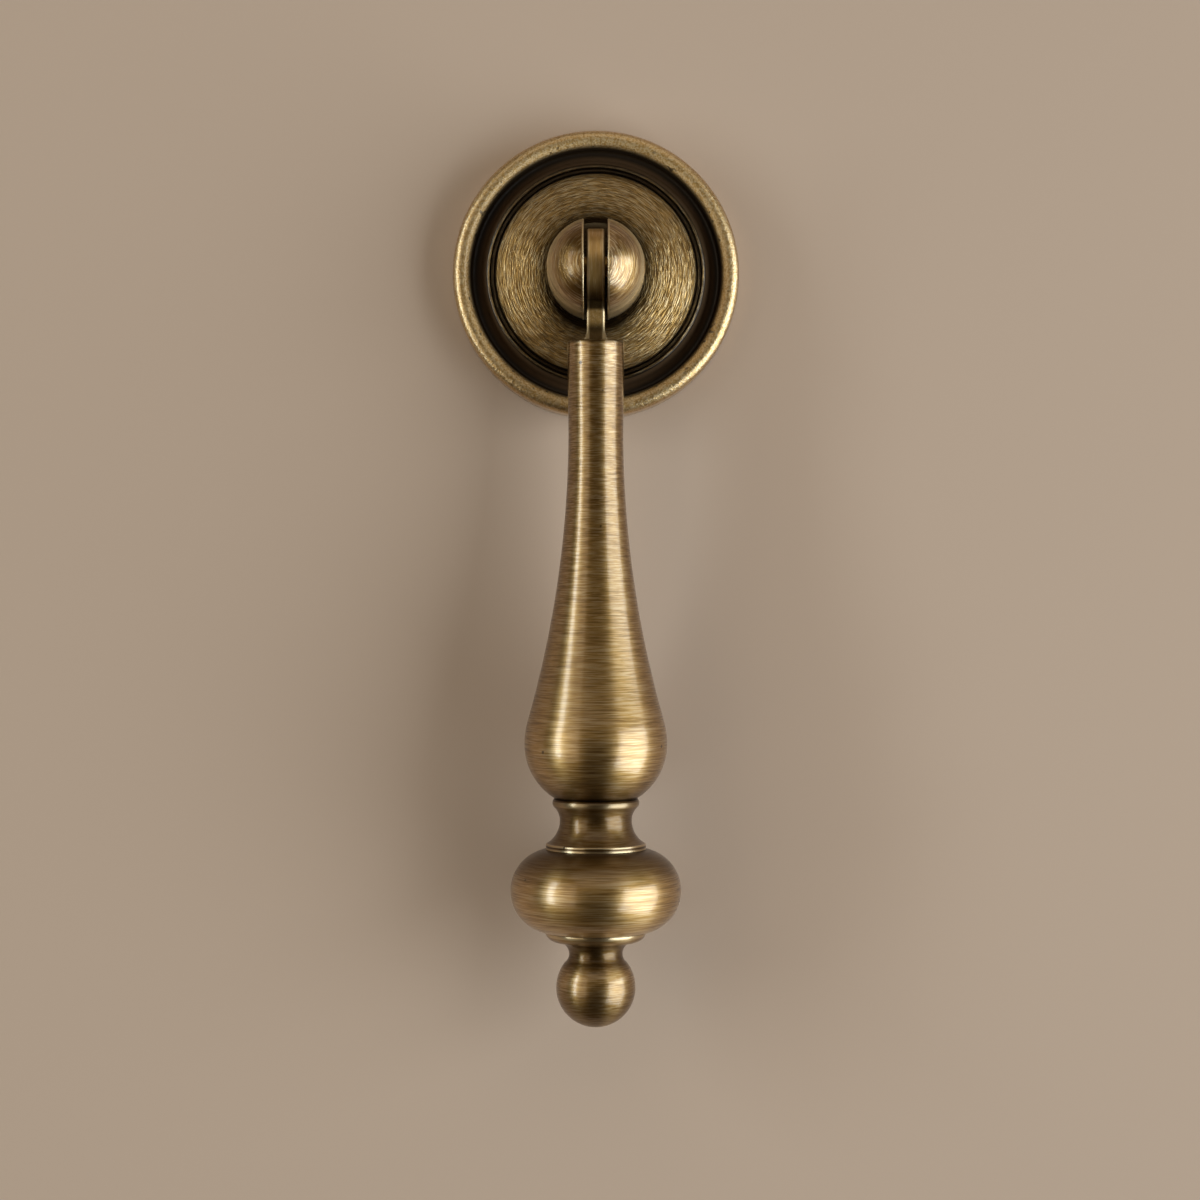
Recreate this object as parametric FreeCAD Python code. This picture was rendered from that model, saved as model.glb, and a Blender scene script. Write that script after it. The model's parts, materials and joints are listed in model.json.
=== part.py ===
import FreeCAD, Part
import math
import os

# Drop pull for a drawer or cabinet front, in antiqued brass. Sizes in millimetres.
# Origin: centre of the rosette's back, on the drawer front. X right, Y into the front, Z up.
# "Height" below is the distance out of the drawer front; "depth" runs down the hanging drop.

Vec = FreeCAD.Vector

# Rosette, pressed from sheet
ROSETTE_DIA = 35.0
ROSETTE_SHEET = 0.8
RIM_WIDTH = 2.2
RIM_HEIGHT = 5.0
GROOVE_WIDTH = 1.9
GROOVE_FLOOR_WIDTH = 1.15
GROOVE_FLOOR_HEIGHT = 2.2
GROOVE_OUTER_RADIUS = 0.5
GROOVE_INNER_RADIUS = 0.9
STEP_HEIGHT = 4.1
STEP_EDGE_RADIUS = 0.6
SEAT_HEIGHT = 4.6
SEAT_MARGIN = 1.2
LINE_INSETS = (0.55, 1.05)
LINE_WIDTH = 0.32
LINE_DEPTH = 0.20

# Post: round-nosed slotted head, clamping thread and mounting stud turned in one
HEAD_DIA = 11.8
PIN_HEIGHT = 11.5
SLOT_SIDE_GAP = 0.32
SLOT_FLOOR_GAP = 0.3
SLOT_EDGE_CHAMFER = 0.15
HEAD_BASE_CHAMFER = 0.3
CLAMP_THREAD_DIA = 5.0
CLAMP_THREAD_END = 0.4
STUD_DIA = 4.0
STUD_LENGTH = 25.0
STUD_TIP_CHAMFER = 0.6
THREAD_EDGE_CHAMFER = 0.3

# Washer and thin nut that clamp the rosette to the post
WASHER_DIA = 10.0
WASHER_THICKNESS = 0.5
NUT_FLATS = 8.0
NUT_HEIGHT = 2.7
NUT_CHAMFER_ANGLE = 30.0

# Hinge pin
PIN_DIA = 2.4

# Eye with neck, flared foot and threaded shank
EYE_DIA = 9.0
EYE_THICKNESS = 2.16
EYE_EDGE_RADIUS = 0.25
EYE_NECK_DEPTH = 3.0
EYE_ROOT_RADIUS = 0.7
FOOT_WIDTH = 2.75
FOOT_DEPTH = 3.6
FOOT_FLARE_HEIGHT = 1.5
FOOT_LAND = 0.25
SHANK_DIA = 3.0
SHANK_LENGTH = 8.0

# Drop: turned in one piece, from its flat top down to the end ball
DROP_TOP_DEPTH = 8.9
DROP_TOP_DIA = 6.82
DROP_TOP_CHAMFER = 0.16
STEM_DIA = 6.56
STEM_LENGTH = 10.6
BULB_DIA = 17.1
BULB_DEPTH = 57.0
BULB_SHOULDER_RADIUS = 9.8
BULB_BASE_RADIUS = 7.65
COLLAR_DIA = 10.4
COLLAR_HEIGHT = 1.1
COLLAR_BULGE = 0.25
UPPER_NECK_DIA = 8.62
UPPER_COVE_RADIUS = 2.2
LOWER_COVE_RADIUS = 3.2
RING_DIA = 11.96
RING_HEIGHT = 0.7
RING_EDGE_RADIUS = 0.15
BEAD_DIA = 20.4
BEAD_RADIUS = 5.0
BEAD_QUIRK = 0.28
FOOT_RING_DIA = 12.08
FOOT_RING_EDGE = 0.1
FOOT_RING_RADIUS = 1.4
TIP_NECK_DIA = 6.4
TIP_UPPER_COVE_RADIUS = 1.5
TIP_LOWER_COVE_RADIUS = 1.3
TIP_BALL_DIA = 9.5
TIP_FLAT_DIA = 0.5
TIP_JOINT_STEP = 0.5
DRILL_EXTRA_DEPTH = 1.0

# Fits, all radial or on one side
ROSETTE_HOLE_GAP = 0.10
WASHER_HOLE_GAP = 0.15
THREAD_GAP = 0.02
SHANK_GAP = 0.05
PIN_SEAT_GAP = 0.01
PIN_RUNNING_GAP = 0.05

HEAD_RADIUS = HEAD_DIA / 2
PIN_RADIUS = PIN_DIA / 2
CLAMP_RADIUS = CLAMP_THREAD_DIA / 2
STUD_RADIUS = STUD_DIA / 2
SHANK_RADIUS = SHANK_DIA / 2
SLOT_WIDTH = EYE_THICKNESS + 2 * SLOT_SIDE_GAP
PIN_AXIS = Vec(0, -PIN_HEIGHT, 0)


def rise(radius, inset):
    """Height along an arc from its widest or narrowest point to where it has moved by inset."""
    return math.sqrt(inset * (2 * radius - inset))


class Outline:
    """Chain of lines and arcs in a half plane: radius from the turning axis, and height along it."""

    def __init__(self, radius, height):
        self.at = Vec(radius, 0, height)
        self.edges = []

    def line(self, radius, height):
        end = Vec(radius, 0, height)
        self.edges.append(Part.LineSegment(self.at, end).toShape())
        self.at = end
        return self

    def arc(self, radius, height, centre_radius, centre_height):
        """Arc of less than a half turn about the given centre."""
        end = Vec(radius, 0, height)
        centre = Vec(centre_radius, 0, centre_height)
        middle = (self.at - centre) + (end - centre)
        middle.normalize()
        middle = centre + middle * (self.at - centre).Length
        self.edges.append(Part.Arc(self.at, middle, end).toShape())
        self.at = end
        return self

    def round_corner(self, corner, fillet, towards):
        """Line to a corner and on towards the next point, with the corner rounded."""
        corner = Vec(corner[0], 0, corner[1])
        back = (self.at - corner).normalize()
        ahead = (Vec(towards[0], 0, towards[1]) - corner).normalize()
        half = back.getAngle(ahead) / 2
        reach = fillet / math.tan(half)
        centre = corner + (back + ahead).normalize() * (fillet / math.sin(half))
        start = corner + back * reach
        end = corner + ahead * reach
        if (start - self.at).Length > 1e-6:
            self.line(start.x, start.z)
        return self.arc(end.x, end.z, centre.x, centre.z)

    def wire(self):
        return Part.Wire(self.edges)

    def turned(self):
        """Solid of revolution about the height axis; the outline is closed along that axis."""
        start = self.edges[0].firstVertex().Point
        if (start - self.at).Length > 1e-6:
            self.line(start.x, start.z)
        return Part.Face(self.wire()).revolve(Vec(0, 0, 0), Vec(0, 0, 1), 360)


def facing_out(shape):
    """Turn a shape made about Z so that its height runs out of the drawer front."""
    shape.rotate(Vec(0, 0, 0), Vec(1, 0, 0), 90)
    return shape


def cylinder(radius, length, base, direction):
    return Part.makeCylinder(radius, length, base, direction)


def ring(inner, outer, bottom, top):
    return Outline(inner, bottom).line(outer, bottom).line(outer, top).line(inner, top).turned()


def rosette():
    """Pressed shell: rolled rim, deep groove, stepped edge and a low dome with a flat seat."""
    rim = ROSETTE_DIA / 2
    rim_inside = rim - RIM_WIDTH
    step = rim_inside - GROOVE_WIDTH
    floor_outside = (rim_inside, GROOVE_FLOOR_HEIGHT)
    floor_inside = (rim_inside - GROOVE_FLOOR_WIDTH, GROOVE_FLOOR_HEIGHT)
    seat = HEAD_RADIUS + SEAT_MARGIN
    bead = RIM_WIDTH / 2
    fall = SEAT_HEIGHT - STEP_HEIGHT
    dome = ((step - seat) ** 2 + fall ** 2) / (2 * fall)
    dome_centre = SEAT_HEIGHT - dome

    def dome_height(radius):
        return dome_centre + math.sqrt(dome ** 2 - (radius - seat) ** 2)

    edge = step - STEP_EDGE_RADIUS
    path = Outline(rim, 0)
    path.round_corner((rim, RIM_HEIGHT), bead, (rim_inside, RIM_HEIGHT))
    path.round_corner((rim_inside, RIM_HEIGHT), bead, floor_outside)
    path.round_corner(floor_outside, GROOVE_OUTER_RADIUS, floor_inside)
    path.round_corner(floor_inside, GROOVE_INNER_RADIUS, (step, STEP_HEIGHT))
    path.round_corner((step, dome_height(step)), STEP_EDGE_RADIUS, (edge, dome_height(edge)))
    path.arc(seat, SEAT_HEIGHT, seat, dome_centre)
    path.line(CLAMP_RADIUS + ROSETTE_HOLE_GAP, SEAT_HEIGHT)
    shell = path.wire().makeOffset2D(ROSETTE_SHEET, 0, True, True, False)
    shell = shell.revolve(Vec(0, 0, 0), Vec(0, 0, 1), 360)
    for inset in LINE_INSETS:
        radius = step - inset
        surface = dome_height(radius)
        line = Outline(radius, surface - LINE_DEPTH)
        line.line(radius + LINE_WIDTH, surface + LINE_DEPTH)
        line.line(radius - LINE_WIDTH, surface + LINE_DEPTH)
        shell = shell.cut(line.turned())
    return facing_out(shell)


def post():
    """Round-nosed head slotted from front to floor, over a clamping thread and the mounting stud."""
    stud_end = -STUD_LENGTH
    outline = Outline(0, stud_end)
    outline.line(STUD_RADIUS - STUD_TIP_CHAMFER, stud_end)
    outline.line(STUD_RADIUS, stud_end + STUD_TIP_CHAMFER)
    outline.line(STUD_RADIUS, CLAMP_THREAD_END)
    outline.line(CLAMP_RADIUS - THREAD_EDGE_CHAMFER, CLAMP_THREAD_END)
    outline.line(CLAMP_RADIUS, CLAMP_THREAD_END + THREAD_EDGE_CHAMFER)
    outline.line(CLAMP_RADIUS, SEAT_HEIGHT)
    outline.line(HEAD_RADIUS - HEAD_BASE_CHAMFER, SEAT_HEIGHT)
    outline.line(HEAD_RADIUS, SEAT_HEIGHT + HEAD_BASE_CHAMFER)
    outline.line(HEAD_RADIUS, PIN_HEIGHT)
    outline.arc(0, PIN_HEIGHT + HEAD_RADIUS, 0, PIN_HEIGHT)
    body = facing_out(outline.turned())

    floor = PIN_HEIGHT - EYE_DIA / 2 - SLOT_FLOOR_GAP
    corner = Vec(-SLOT_WIDTH / 2, -2 * PIN_HEIGHT - floor, -HEAD_DIA)
    slot = Part.makeBox(SLOT_WIDTH, 2 * PIN_HEIGHT, 2 * HEAD_DIA, corner)
    body = body.cut(slot)
    rims = [e for e in body.Edges if on_slot_rim(e, floor)]
    body = body.makeChamfer(SLOT_EDGE_CHAMFER, rims)
    hole = cylinder(PIN_RADIUS + PIN_SEAT_GAP, 2 * HEAD_DIA, PIN_AXIS - Vec(HEAD_DIA, 0, 0), Vec(1, 0, 0))
    return body.cut(hole)


def on_slot_rim(edge, floor):
    """True for the edges where the slot's walls come out through the head's surface."""
    box = edge.BoundBox
    on_wall = box.XLength < 1e-6 and abs(abs(box.XMin) - SLOT_WIDTH / 2) < 1e-6
    return on_wall and box.YMin < -floor - 1e-6


def hinge_pin():
    """Plain pin through both cheeks, its ends dressed round with the head."""
    pin = cylinder(PIN_RADIUS, 2 * HEAD_RADIUS, PIN_AXIS - Vec(HEAD_RADIUS, 0, 0), Vec(1, 0, 0))
    return pin.common(Part.makeSphere(HEAD_RADIUS, PIN_AXIS))


def washer():
    seat = SEAT_HEIGHT - ROSETTE_SHEET
    return facing_out(ring(CLAMP_RADIUS + WASHER_HOLE_GAP, WASHER_DIA / 2, seat - WASHER_THICKNESS, seat))


def lock_nut():
    """Thin hexagon nut with its corners turned off on both faces."""
    top = SEAT_HEIGHT - ROSETTE_SHEET - WASHER_THICKNESS
    bottom = top - NUT_HEIGHT
    flats = NUT_FLATS / 2
    corners = NUT_FLATS / math.sqrt(3)
    cone = (corners - flats) * math.tan(math.radians(NUT_CHAMFER_ANGLE))
    points = []
    for index in range(7):
        angle = math.radians(60 * index)
        points.append(Vec(corners * math.cos(angle), corners * math.sin(angle), bottom))
    hexagon = Part.Face(Part.makePolygon(points)).extrude(Vec(0, 0, NUT_HEIGHT))
    dressing = Outline(CLAMP_RADIUS + THREAD_GAP, bottom)
    dressing.line(flats, bottom).line(corners, bottom + cone)
    dressing.line(corners, top - cone).line(flats, top)
    dressing.line(CLAMP_RADIUS + THREAD_GAP, top)
    return facing_out(hexagon.common(dressing.turned()))


def rounded_section(width, depth, height):
    """Rounded rectangle across the neck, at a height above the drop's top."""
    radius = EYE_EDGE_RADIUS
    level = height - DROP_TOP_DEPTH
    x, y = width / 2, depth / 2
    edges = []
    for sx, sy in ((1, 1), (-1, 1), (-1, -1), (1, -1)):
        centre = Vec(sx * (x - radius), sy * (y - radius), level)
        on_side = centre + Vec(sx * radius, 0, 0)
        on_face = centre + Vec(0, sy * radius, 0)
        middle = centre + Vec(sx, sy, 0).normalize() * radius
        first, last = (on_side, on_face) if sx * sy > 0 else (on_face, on_side)
        if edges:
            edges.append(Part.LineSegment(edges[-1].lastVertex().Point, first).toShape())
        edges.append(Part.Arc(first, middle, last).toShape())
    edges.append(Part.LineSegment(edges[-1].lastVertex().Point, edges[0].firstVertex().Point).toShape())
    return Part.Wire(edges)


def eye_plate(neck_end):
    """Round eye and straight neck, cut from one thickness with all edges rounded over."""
    half = EYE_THICKNESS / 2
    eye = cylinder(EYE_DIA / 2, EYE_THICKNESS, Vec(-half, 0, 0), Vec(1, 0, 0))
    neck = Part.makeBox(EYE_THICKNESS, EYE_NECK_DEPTH, -neck_end, Vec(-half, -EYE_NECK_DEPTH / 2, neck_end))
    plate = eye.fuse(neck).removeSplitter()
    roots = [e for e in plate.Edges if e.BoundBox.YLength < 1e-6 and e.BoundBox.ZLength < 1e-6]
    roots = [e for e in roots if e.BoundBox.ZMin > neck_end + 1e-6 and abs(e.BoundBox.YMin) > 1e-6]
    roots = [e for e in roots if abs(abs(e.BoundBox.YMin) - EYE_NECK_DEPTH / 2) < 1e-6]
    plate = plate.makeFillet(EYE_ROOT_RADIUS, roots)
    border = [e for e in plate.Edges if e.BoundBox.XLength < 1e-6 and e.BoundBox.ZMax > neck_end + 1e-6]
    return plate.makeFillet(EYE_EDGE_RADIUS, border)


def drop_eye():
    """Eye on a neck that flares into a foot, with a shank screwed into the drop."""
    neck_end = FOOT_LAND + FOOT_FLARE_HEIGHT - DROP_TOP_DEPTH
    piece = eye_plate(neck_end)
    sections = []
    for share, spread in ((1.0, 0.0), (0.5, 0.16), (0.0, 1.0)):
        width = EYE_THICKNESS + spread * (FOOT_WIDTH - EYE_THICKNESS)
        depth = EYE_NECK_DEPTH + spread * (FOOT_DEPTH - EYE_NECK_DEPTH)
        sections.append(rounded_section(width, depth, FOOT_LAND + share * FOOT_FLARE_HEIGHT))
    piece = piece.fuse(Part.makeLoft(sections, True))
    foot = Part.Face(rounded_section(FOOT_WIDTH, FOOT_DEPTH, 0)).extrude(Vec(0, 0, FOOT_LAND))
    shank = cylinder(SHANK_RADIUS, SHANK_LENGTH, Vec(0, 0, -DROP_TOP_DEPTH), Vec(0, 0, -1))
    bore = cylinder(PIN_RADIUS + PIN_RUNNING_GAP, 2 * EYE_DIA, Vec(-EYE_DIA, 0, 0), Vec(1, 0, 0))
    piece = piece.fuse(foot).fuse(shank).cut(bore)
    piece.translate(PIN_AXIS)
    return piece


def stem_and_bulb(outline):
    """Tapered stem, long flare tangent to the stem and to the bulb, and the bulb's round base."""
    top, stem, bulb = DROP_TOP_DIA / 2, STEM_DIA / 2, BULB_DIA / 2
    flare_start = -DROP_TOP_DEPTH - STEM_LENGTH
    across = bulb - stem
    down = flare_start + BULB_DEPTH
    reach = (across ** 2 + down ** 2) / (2 * across)
    flare = reach - BULB_SHOULDER_RADIUS
    flare_centre = Vec(stem + flare, 0, flare_start)
    shoulder_centre = Vec(bulb - BULB_SHOULDER_RADIUS, 0, -BULB_DEPTH)
    touch = flare_centre + (shoulder_centre - flare_centre) * (flare / reach)
    outline.line(top - DROP_TOP_CHAMFER, -DROP_TOP_DEPTH)
    outline.line(top, -DROP_TOP_DEPTH - DROP_TOP_CHAMFER)
    outline.line(stem, flare_start)
    outline.arc(touch.x, touch.z, flare_centre.x, flare_centre.z)
    outline.arc(bulb, -BULB_DEPTH, shoulder_centre.x, shoulder_centre.z)
    end = COLLAR_DIA / 2 - COLLAR_BULGE
    level = -BULB_DEPTH - rise(BULB_BASE_RADIUS, bulb - end)
    outline.arc(end, level, bulb - BULB_BASE_RADIUS, -BULB_DEPTH)


def collar_neck_and_ring(outline):
    """Half-round collar under the bulb, waisted neck and the thin ring it flares to."""
    side, neck, rim = outline.at.x, UPPER_NECK_DIA / 2, RING_DIA / 2
    level = outline.at.z - COLLAR_HEIGHT
    bulge = (COLLAR_BULGE ** 2 + (COLLAR_HEIGHT / 2) ** 2) / (2 * COLLAR_BULGE)
    outline.arc(side, level, side + COLLAR_BULGE - bulge, level + COLLAR_HEIGHT / 2)
    waist = level - rise(UPPER_COVE_RADIUS, side - neck)
    outline.arc(neck, waist, neck + UPPER_COVE_RADIUS, waist)
    inside = rim - RING_EDGE_RADIUS
    ring_top = waist - rise(LOWER_COVE_RADIUS, inside - neck)
    outline.arc(inside, ring_top, neck + LOWER_COVE_RADIUS, waist)
    outline.arc(rim, ring_top - RING_EDGE_RADIUS, inside, ring_top - RING_EDGE_RADIUS)
    outline.line(rim, ring_top - RING_HEIGHT)
    outline.line(rim - BEAD_QUIRK, ring_top - RING_HEIGHT)


def bead_and_tip(outline):
    """Large half-round bead, foot ring running out into the tip's neck, and the end ball."""
    widest = BEAD_DIA / 2
    centre = widest - BEAD_RADIUS
    middle = outline.at.z - math.sqrt(BEAD_RADIUS ** 2 - (outline.at.x - centre) ** 2)
    outline.arc(widest, middle, centre, middle)
    rim = FOOT_RING_DIA / 2
    seat = rim - BEAD_QUIRK
    level = middle - math.sqrt(BEAD_RADIUS ** 2 - (seat - centre) ** 2)
    outline.arc(seat, level, centre, middle)
    outline.line(rim, level)
    level -= FOOT_RING_EDGE
    outline.line(rim, level)
    neck = TIP_NECK_DIA / 2
    turn = neck + TIP_UPPER_COVE_RADIUS
    drop = FOOT_RING_RADIUS - math.sqrt(FOOT_RING_RADIUS ** 2 - (rim - turn) ** 2)
    level -= drop
    outline.arc(turn, level, turn, level + FOOT_RING_RADIUS)
    waist = level - TIP_UPPER_COVE_RADIUS
    outline.arc(neck, waist, turn, waist)
    joint = neck + TIP_JOINT_STEP
    level = waist - rise(TIP_LOWER_COVE_RADIUS, TIP_JOINT_STEP)
    outline.arc(joint, level, neck + TIP_LOWER_COVE_RADIUS, waist)
    ball = TIP_BALL_DIA / 2
    ball_centre = level - math.sqrt(ball ** 2 - joint ** 2)
    outline.arc(ball, ball_centre, 0, ball_centre)
    flat = TIP_FLAT_DIA / 2
    bottom = ball_centre - math.sqrt(ball ** 2 - flat ** 2)
    outline.arc(flat, bottom, 0, ball_centre)
    outline.line(0, bottom)


def drop_body():
    outline = Outline(0, -DROP_TOP_DEPTH)
    stem_and_bulb(outline)
    collar_neck_and_ring(outline)
    bead_and_tip(outline)
    body = outline.turned()
    depth = SHANK_LENGTH + DRILL_EXTRA_DEPTH
    hole = cylinder(SHANK_RADIUS + SHANK_GAP, depth, Vec(0, 0, -DROP_TOP_DEPTH), Vec(0, 0, -1))
    body = body.cut(hole)
    body.translate(PIN_AXIS)
    return body


def main():
    os.makedirs("parts", exist_ok=True)
    pieces = {
        "rosette": rosette(),
        "post": post(),
        "hinge_pin": hinge_pin(),
        "washer": washer(),
        "lock_nut": lock_nut(),
        "drop_eye": drop_eye(),
        "drop": drop_body(),
    }
    for name, shape in pieces.items():
        shape.exportStep("parts/" + name + ".step")


main()
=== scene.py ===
import functools
import json
import math
from collections import namedtuple

import bmesh
import bpy
from mathutils import Matrix, Vector


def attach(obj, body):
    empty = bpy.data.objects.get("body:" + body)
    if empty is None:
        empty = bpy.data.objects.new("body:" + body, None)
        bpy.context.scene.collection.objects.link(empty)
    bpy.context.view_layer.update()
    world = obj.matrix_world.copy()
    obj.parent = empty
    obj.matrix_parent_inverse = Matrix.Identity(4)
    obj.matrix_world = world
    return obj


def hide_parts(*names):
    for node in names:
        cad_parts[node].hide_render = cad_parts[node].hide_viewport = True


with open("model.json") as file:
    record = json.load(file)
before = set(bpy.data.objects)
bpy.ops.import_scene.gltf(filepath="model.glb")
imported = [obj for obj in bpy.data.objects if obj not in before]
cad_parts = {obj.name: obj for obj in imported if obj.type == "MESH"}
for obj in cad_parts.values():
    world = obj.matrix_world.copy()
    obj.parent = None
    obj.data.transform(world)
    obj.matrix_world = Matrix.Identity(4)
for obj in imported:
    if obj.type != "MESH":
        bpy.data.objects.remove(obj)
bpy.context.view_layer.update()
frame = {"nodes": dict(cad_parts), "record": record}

bl_info = {
    "name": "Brass Drop Pull",
    "version": (1, 0, 0),
    "blender": (4, 5, 0),
    "location": "3D View > Sidebar > Drop Pull",
    "description": "Antiqued brass drop pull: rosette, slotted post, eye and turned drop",
    "category": "Add Mesh",
}

MM = 0.001
RECORD_JOINT = frame["record"]["behaviour"]["joints"][0]
PIN_AXIS = Vector(RECORD_JOINT["pos_m"]) / MM


def mm(label, value, text):
    """A length property, written in millimetres."""
    return bpy.props.FloatProperty(name=label, description=text, default=value * MM,
                                   min=0.0, precision=5, unit="LENGTH")


def degrees(label, value, text):
    return bpy.props.FloatProperty(name=label, description=text, default=math.radians(value),
                                   subtype="ANGLE")


def brightness(label, value, text):
    return bpy.props.FloatProperty(name=label, description=text, default=value, min=0.0)


def count(label, value, text):
    return bpy.props.IntProperty(name=label, description=text, default=value, min=3)


def linear(channel):
    """Light from one channel of a written colour, 0 to 255, by the sRGB curve."""
    part = channel / 255
    return part / 12.92 if part <= 0.04045 else ((part + 0.055) / 1.055) ** 2.4


def tint(label, red, green, blue, text):
    return bpy.props.FloatVectorProperty(name=label, description=text, size=3, min=0.0, max=1.0,
                                         subtype="COLOR",
                                         default=(linear(red), linear(green), linear(blue)))


class RosetteSizes(bpy.types.PropertyGroup):
    diameter: mm("Diameter", 35.0, "Across the rim")
    sheet: mm("Sheet", 0.8, "Thickness of the pressed sheet")
    rim_width: mm("Rim width", 2.2, "Width of the half-round rim")
    rim_height: mm("Rim height", 5.0, "Top of the rim above the drawer front")
    groove_width: mm("Groove width", 1.9, "From the rim to the step's edge")
    groove_floor: mm("Groove floor", 1.15, "Width of the groove's floor before rounding")
    groove_height: mm("Groove height", 2.2, "Groove's floor above the drawer front")
    groove_outer_round: mm("Groove outer round", 0.5, "Rounding under the rim")
    groove_inner_round: mm("Groove inner round", 0.9, "Rounding under the step")
    step_height: mm("Step height", 4.1, "Edge of the domed centre above the drawer front")
    step_round: mm("Step round", 0.6, "Rounding of the step's edge")
    seat_height: mm("Seat height", 4.6, "Flat seat of the post above the drawer front")
    seat_margin: mm("Seat margin", 1.2, "Flat seat beyond the post's head")
    first_line: mm("First line", 0.55, "Outer turned line, in from the step's edge")
    second_line: mm("Second line", 1.05, "Inner turned line, in from the step's edge")
    line_width: mm("Line width", 0.32, "Width of a turned line")
    line_depth: mm("Line depth", 0.20, "Depth of a turned line")
    hole: mm("Hole", 5.2, "Hole for the clamping thread")
    turns: count("Turns", 192, "Divisions round the rosette")


class PostSizes(bpy.types.PropertyGroup):
    head: mm("Head", 11.8, "Diameter of the round-nosed head")
    slot: mm("Slot", 2.8, "Width of the slot for the eye")
    slot_round: mm("Slot round", 0.15, "Rounding of the slot's rims")
    floor_gap: mm("Floor gap", 0.3, "From the eye to the slot's floor")
    base_chamfer: mm("Base chamfer", 0.3, "Chamfer where the head meets the rosette")
    clamp: mm("Clamping thread", 5.0, "Diameter of the clamping thread")
    clamp_end: mm("Clamping thread end", 0.4, "Its end above the drawer front")
    stud: mm("Stud", 4.0, "Diameter of the mounting stud")
    stud_length: mm("Stud length", 25.0, "Stud beyond the drawer front")
    stud_chamfer: mm("Stud chamfer", 0.6, "Chamfer of the stud's tip")
    pitch: mm("Pitch", 0.7, "Pitch of the stud's thread")
    pin: mm("Pin hole", 2.42, "Cross-drilled hole for the hinge pin")


class EyeSizes(bpy.types.PropertyGroup):
    diameter: mm("Diameter", 9.0, "Across the eye")
    thickness: mm("Thickness", 2.16, "Thickness of eye and neck")
    bore: mm("Bore", 2.5, "Hole for the hinge pin")
    edge_round: mm("Edge round", 0.25, "Rounding of all edges")
    neck_depth: mm("Neck depth", 3.0, "Front to back through the neck")
    root_round: mm("Root round", 0.7, "Hollow between the eye and its neck")
    foot_width: mm("Foot width", 2.75, "Foot from side to side")
    foot_depth: mm("Foot depth", 3.6, "Foot from front to back")
    flare: mm("Flare", 1.5, "Height of the flare into the foot")
    land: mm("Land", 0.25, "Straight land at the foot")
    shank: mm("Shank", 3.0, "Diameter of the shank in the drop")
    shank_length: mm("Shank length", 8.0, "Shank below the foot")


class DropSizes(bpy.types.PropertyGroup):
    top_depth: mm("Top depth", 8.9, "Flat top below the hinge pin")
    top: mm("Top", 6.82, "Diameter at the top")
    top_chamfer: mm("Top chamfer", 0.16, "Chamfer of the top's edge")
    stem: mm("Stem", 6.56, "Narrowest diameter of the stem")
    stem_length: mm("Stem length", 10.6, "From the top to the narrowest place")
    bulb: mm("Bulb", 17.1, "Widest diameter of the bulb")
    bulb_depth: mm("Bulb depth", 57.0, "Widest place below the hinge pin")
    shoulder_round: mm("Shoulder round", 9.8, "Radius of the bulb above its widest place")
    base_round: mm("Base round", 7.65, "Radius of the bulb below its widest place")
    collar: mm("Collar", 10.4, "Diameter of the collar under the bulb")
    collar_height: mm("Collar height", 1.1, "Height of the collar")
    collar_bulge: mm("Collar bulge", 0.25, "How far the collar stands out")
    neck: mm("Neck", 8.62, "Waist between collar and ring")
    upper_cove: mm("Upper cove", 2.2, "Radius of the neck above its waist")
    lower_cove: mm("Lower cove", 3.2, "Radius of the neck below its waist")
    ring: mm("Ring", 11.96, "Diameter of the thin ring over the bead")
    ring_height: mm("Ring height", 0.7, "Height of the thin ring")
    ring_round: mm("Ring round", 0.15, "Rounding of the ring's edge")
    bead: mm("Bead", 20.4, "Diameter of the large bead")
    bead_round: mm("Bead round", 5.0, "Radius of the bead's outline")
    quirk: mm("Quirk", 0.28, "Small step between bead and rings")
    foot_ring: mm("Foot ring", 12.08, "Diameter of the ring under the bead")
    foot_edge: mm("Foot edge", 0.1, "Straight edge of the ring under the bead")
    foot_round: mm("Foot round", 1.4, "Radius of the ring under the bead")
    tip_neck: mm("Tip neck", 6.4, "Waist over the end ball")
    tip_upper_cove: mm("Tip upper cove", 1.5, "Radius above that waist")
    tip_lower_cove: mm("Tip lower cove", 1.3, "Radius below that waist")
    ball: mm("Ball", 9.5, "Diameter of the end ball")
    ball_flat: mm("Ball flat", 0.5, "Parting flat under the ball")
    ball_step: mm("Ball step", 0.5, "How far the cove runs out before the ball")
    drill: mm("Drill", 3.1, "Hole for the eye's shank")
    drill_depth: mm("Drill depth", 9.0, "Depth of that hole")
    turns: count("Turns", 128, "Divisions round the drop")


class BrassFinish(bpy.types.PropertyGroup):
    # also used for painted highlights: the head's limb and the eye's sides
    bright: tint("Bright brass", 212, 188, 144, "Burnished edges and strokes")
    warm: tint("Warm brass", 182, 145, 84, "Brushed brass")
    brown: tint("Brown brass", 124, 90, 41, "Toned strokes and shallow recesses")
    # also used for painted shade on the drop and on the rim's inner slope
    deep: tint("Deep brown", 80, 54, 20, "Toned strokes and hollows")
    groove: tint("Groove brown", 96, 72, 48, "Satin patina in the rosette's groove")
    # also used for painted shade: round the post's head and its foot, in the slot, in the eye's
    # root and on the foot's flare
    black: tint("Dark patina and painted shade", 38, 26, 11, "Deep recesses and pits")
    plain: tint("Plain brass", 201, 168, 108, "Untoned nut and washer")


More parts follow.
